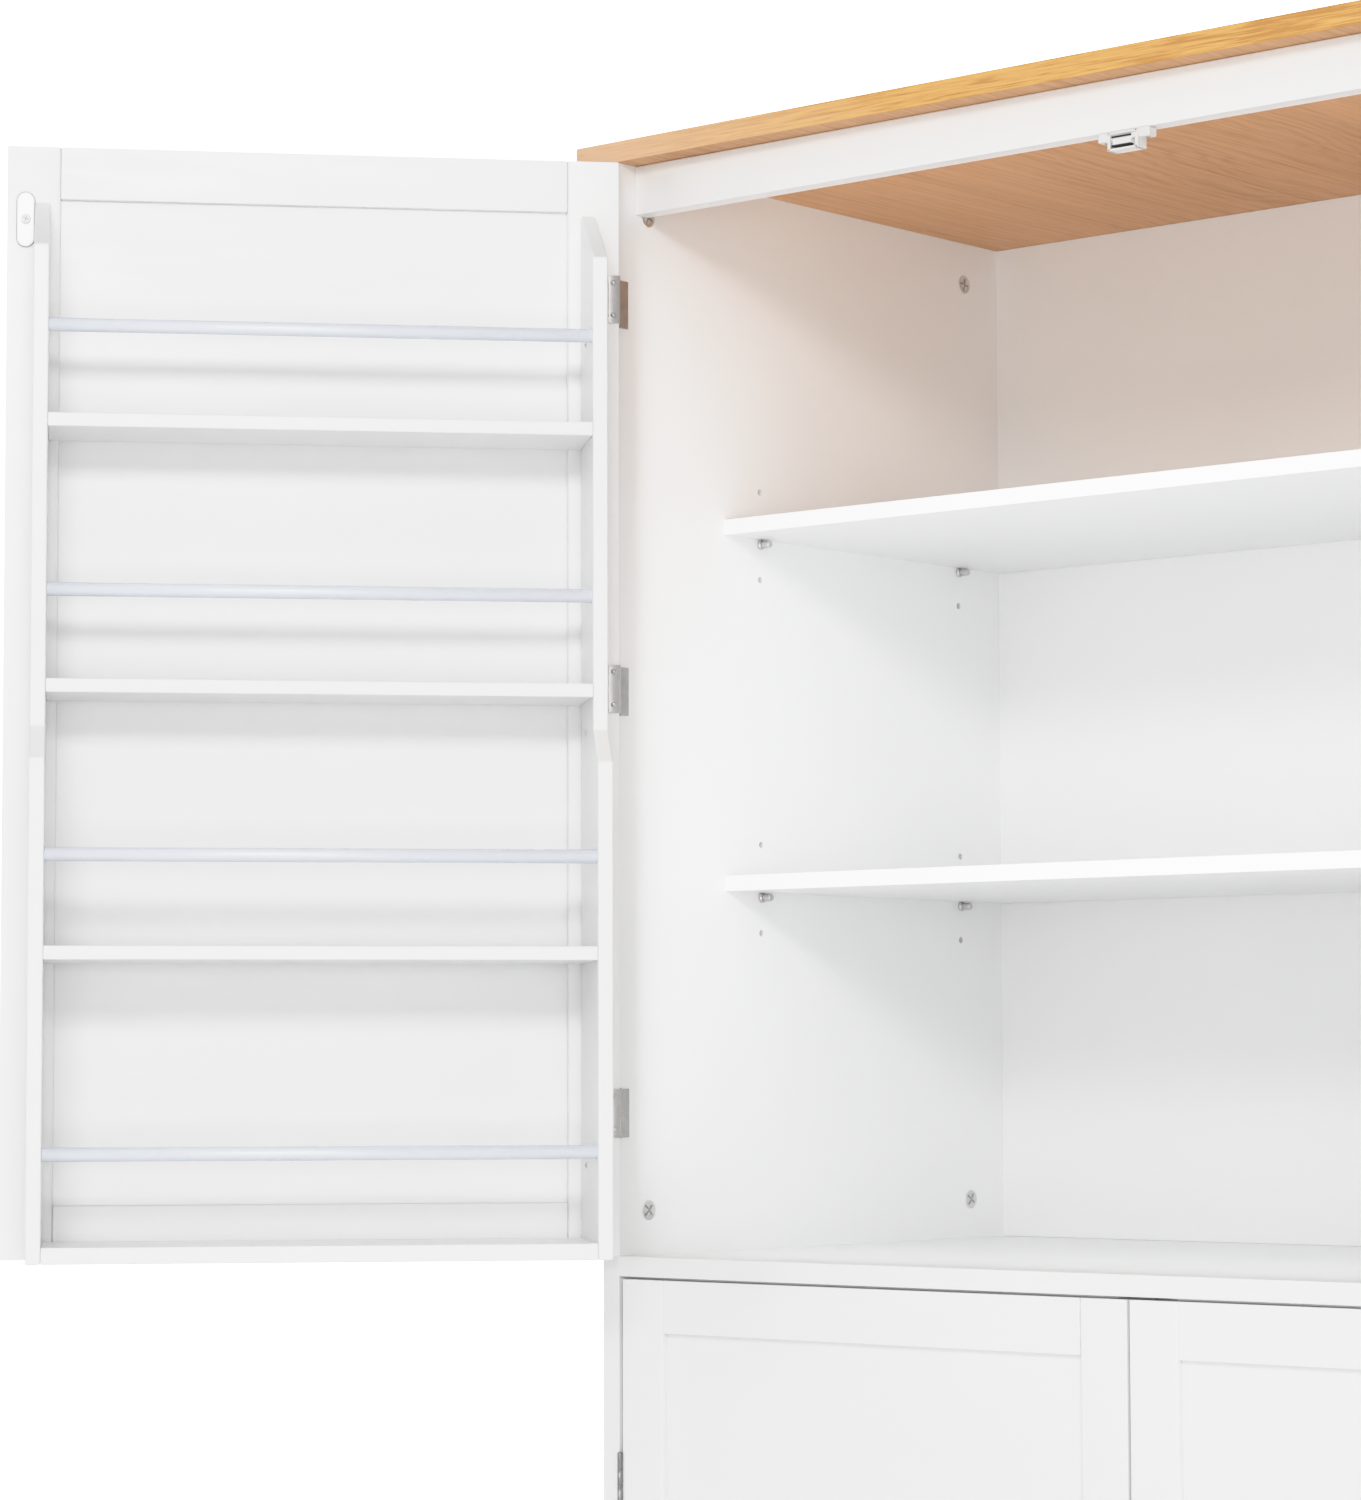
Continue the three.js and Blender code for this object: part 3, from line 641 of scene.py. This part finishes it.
def rack(prefix, side, body, turn):
    """The rack on an upper door: two side panels, and a board and a guard rod for each tier."""
    names = ["hinge_side", "free_side"] + [f"{tier}_{part}" for tier in TIERS for part in ("board", "rod")]
    boxes = {k: box_mm(f"{prefix}_rack_{k}", turn) for k in names}
    # side panels: the outline comes from the CAD node's own corners
    for which in ("hinge_side", "free_side"):
        node = f"{prefix}_rack_{which}"
        lo, hi = boxes[which]
        outer = {}
        for v in nodes[node].data.vertices:
            p = turn.inverted() @ v.co * 1000
            y, z = p.y - DY, p.z
            outer[round(y), round(z)] = (y, z)
        pts = list(outer.values())
        back, front = lo[1], hi[1]
        zs = sorted({round(z, 1) for y, z in pts if abs(y - front) < 0.2})
        top_back = max(z for y, z in pts if abs(y - back) < 0.2)
        step = [p for p in pts if p[0] < front - 8 and p[1] > zs[-1] + 5 and p[0] > back + 40]
        shallow = max(p[0] for p in step)
        step_z = sorted(z for y, z in step if abs(y - shallow) < 0.2)
        outline = [(back, lo[2]), (front, lo[2]), (front, zs[-1]),
                   (shallow, step_z[0]), (shallow, step_z[-1]), (back, top_back)]
        piece(f"{prefix}_{which}_panel", prism(bmesh.new(), outline, lo[0], hi[0], 0), body, PAINT, 1.3, 3,
              turn, [node])
    left, right = sorted((boxes["hinge_side"], boxes["free_side"]), key=lambda b: b[0][0])
    for tier in TIERS:
        lo, hi = boxes[f"{tier}_board"]
        board = block(bmesh.new(), (left[1][0], lo[1], lo[2]), (right[0][0], hi[1], hi[2]))
        piece(f"{prefix}_{tier}_tier", board, body, PAINT, 0.9, 3, turn, [f"{prefix}_rack_{tier}_board"])
        lo, hi = boxes[f"{tier}_rod"]
        r = (hi[2] - lo[2]) / 2
        a, b = left[1][0] - SUNK, right[0][0] + SUNK
        bm = turned(bmesh.new(), [(r * 0.94, 0), (r, 0.25), (r, b - a - 0.25), (r * 0.94, b - a)],
                    (a, (lo[1] + hi[1]) / 2, (lo[2] + hi[2]) / 2), (1, 0, 0), 40)
        piece(f"{prefix}_{tier}_guard", bm, body, ROD, 0, turn=turn, stands_for=[f"{prefix}_rack_{tier}_rod"])
    # screws through the hinge-side panel
    hlo, hhi = boxes["hinge_side"]
    x = hhi[0] if side < 0 else hlo[0]
    for k, (tier, rise) in enumerate(RACK_SCREWS.items()):
        z = boxes[f"{tier}_board"][1][2] + rise
        screw_head(f"{prefix}_rack_screw_{k}", (x, hlo[1] + 33, z), (-side, 0, 0), 2.2, body, turn, ZINC, 0.3)


for level in ("upper", "lower"):
    for word in ("left", "right"):
        door(level, word)

# -------------------------------------------------------- floor, light, camera
scene = bpy.context.scene
scene.view_settings.view_transform = "Standard"
scene.view_settings.look = "None"

# A film-like shoulder: tones are plain up to SHOULDER and then ease towards white.
SHOULDER = 0.7
BRIGHTEST = 3.0


def eased(x):
    return x if x < SHOULDER else 1 - (1 - SHOULDER) * math.exp((SHOULDER - x) / (1 - SHOULDER))


scene.view_settings.use_curve_mapping = True
tones = scene.view_settings.curve_mapping
tones.white_level = (BRIGHTEST, BRIGHTEST, BRIGHTEST)
curve = tones.curves[3]
for x in (SHOULDER * 0.5, SHOULDER, 0.8, 0.9, 1.0, 1.15, 1.3, 1.5, 1.8, 2.2):
    curve.points.new(x / BRIGHTEST, eased(x))
tones.update()

FLOOR_RADIUS = 4.6
FLOOR_SIDES = 96
FLOOR_GLOW = 1.6          # what the floor fades to in the distance, seen by the camera alone
ROOM_LIGHT = 0.369        # strength of the even light from all round

t = Tree("pale_floor")
geo = t.node("NewGeometry", "Position")
dist = t.node("VectorMath", "Value", {0: geo}, operation="LENGTH")
fade = t.node("MapRange", 0, {"Value": dist, "From Min": 1.0, "From Max": 4.4,
                              "To Min": 0.10, "To Max": 1.0}, interpolation_type="SMOOTHERSTEP")
t.set(Base_Color=(0.86, 0.86, 0.86, 1), Roughness=0.6,
      Normal=t.bump(t.noise(t.coords(), 60, 3), 0.05, 0.0005))
glow = t.node("Emission", 0, {"Color": (1, 1, 1, 1), "Strength": FLOOR_GLOW})
only_seen = t.math("MULTIPLY", fade, t.node("LightPath", "Is Camera Ray"))
blend = t.node("MixShader", 0, {0: only_seen, 1: t.bsdf.outputs[0], 2: glow})
t.t.links.new(blend, t.out.inputs[0])
bm = bmesh.new()
turns = [2 * math.pi * i / FLOOR_SIDES for i in range(FLOOR_SIDES)]
bm.faces.new([bm.verts.new((FLOOR_RADIUS * math.cos(a), FLOOR_RADIUS * math.sin(a), 0)) for a in turns])
me = bpy.data.meshes.new("floor")
bm.to_mesh(me)
bm.free()
me.materials.append(t.mat)
floor = bpy.data.objects.new("floor", me)
floor.location.z = -0.0005          # just clear of the side panels' feet
scene.collection.objects.link(floor)

world = bpy.data.worlds.new("studio")
scene.world = world
world.use_nodes = True
nt = world.node_tree
nt.nodes.clear()
out = nt.nodes.new("ShaderNodeOutputWorld")
path = nt.nodes.new("ShaderNodeLightPath")
seen = nt.nodes.new("ShaderNodeBackground")
lit = nt.nodes.new("ShaderNodeBackground")
mixer = nt.nodes.new("ShaderNodeMixShader")
for background, strength in ((seen, BRIGHTEST), (lit, ROOM_LIGHT)):
    background.inputs[0].default_value = (1, 1, 1, 1)
    background.inputs[1].default_value = strength
nt.links.new(path.outputs["Is Camera Ray"], mixer.inputs[0])
nt.links.new(lit.outputs[0], mixer.inputs[1])
nt.links.new(seen.outputs[0], mixer.inputs[2])
nt.links.new(mixer.outputs[0], out.inputs[0])


def lamp(name, at, target, size, power, colour=(1, 1, 1)):
    data = bpy.data.lights.new(name, "AREA")
    data.shape = "RECTANGLE"
    data.size, data.size_y = size
    data.energy = power
    data.color = colour
    ob = bpy.data.objects.new(name, data)
    ob.location = at
    ob.rotation_euler = (Vector(target) - Vector(at)).to_track_quat("-Z", "Y").to_euler()
    ob.visible_camera = False
    scene.collection.objects.link(ob)


lamp("key", (2.0, -3.0, 2.65), (-0.25, -0.05, 1.35), (1.7, 0.55), 40)
lamp("left", (-2.8, -3.0, 1.6), (0, 0, 1.3), (2.0, 2.0), 27)
lamp("overhead", (0.4, -1.6, 3.9), (0, -0.1, 1.0), (3.0, 3.0), 16)
lamp("near_camera", (1.75, -2.5, 0.95), (-0.1, 0.1, 1.4), (2.0, 1.1), 23)
lamp("behind_left", (-2.6, 3.2, 2.3), (0, 0.4, 1.0), (2.4, 2.4), 42)
lamp("behind_right", (2.9, 2.9, 2.3), (0, 0.3, 1.0), (2.4, 2.4), 42)
# Weak, slightly cool panels inside the mouths of the two compartments, behind the closed doors,
# for the light that a room throws in.
MOUTH = (DY + 17) / 1000
MOUTH_MARGIN = 55         # a panel's edge to the boards above and below it
COOL = (0.965, 0.985, 1.0)
for name, low, high in (("upper", DIVIDER[1][2], CEILING), ("lower", BOTTOM[1][2], DIVIDER[0][2])):
    middle, tall = (low + high) / 2000, (high - low - 2 * MOUTH_MARGIN) / 1000
    lamp(f"{name}_mouth", (0, MOUTH, middle), (0, MOUTH + 0.5, middle), (0.88, tall), 1.17, COOL)

cam = bpy.data.cameras.new("camera")
cam.sensor_fit = "AUTO"
cam.sensor_width = 36.0
cam.lens = 103.28
cam.clip_end = 60
camera = bpy.data.objects.new("camera", cam)
scene.collection.objects.link(camera)
scene.camera = camera
heading, lift, lean = math.radians(40.94), math.radians(4.20), math.radians(-0.13)
ahead = Vector((-math.sin(heading) * math.cos(lift), math.cos(heading) * math.cos(lift), math.sin(lift)))
level_right = Vector((math.cos(heading), math.sin(heading), 0))
level_up = level_right.cross(ahead)
right = level_right * math.cos(lean) + level_up * math.sin(lean)
up = level_up * math.cos(lean) - level_right * math.sin(lean)
aim = Matrix((right, up, -ahead)).transposed().to_4x4()
aim.translation = mm(1681.8, -2396.2, DIVIDER[1][2] + 140.5)
camera.matrix_world = aim
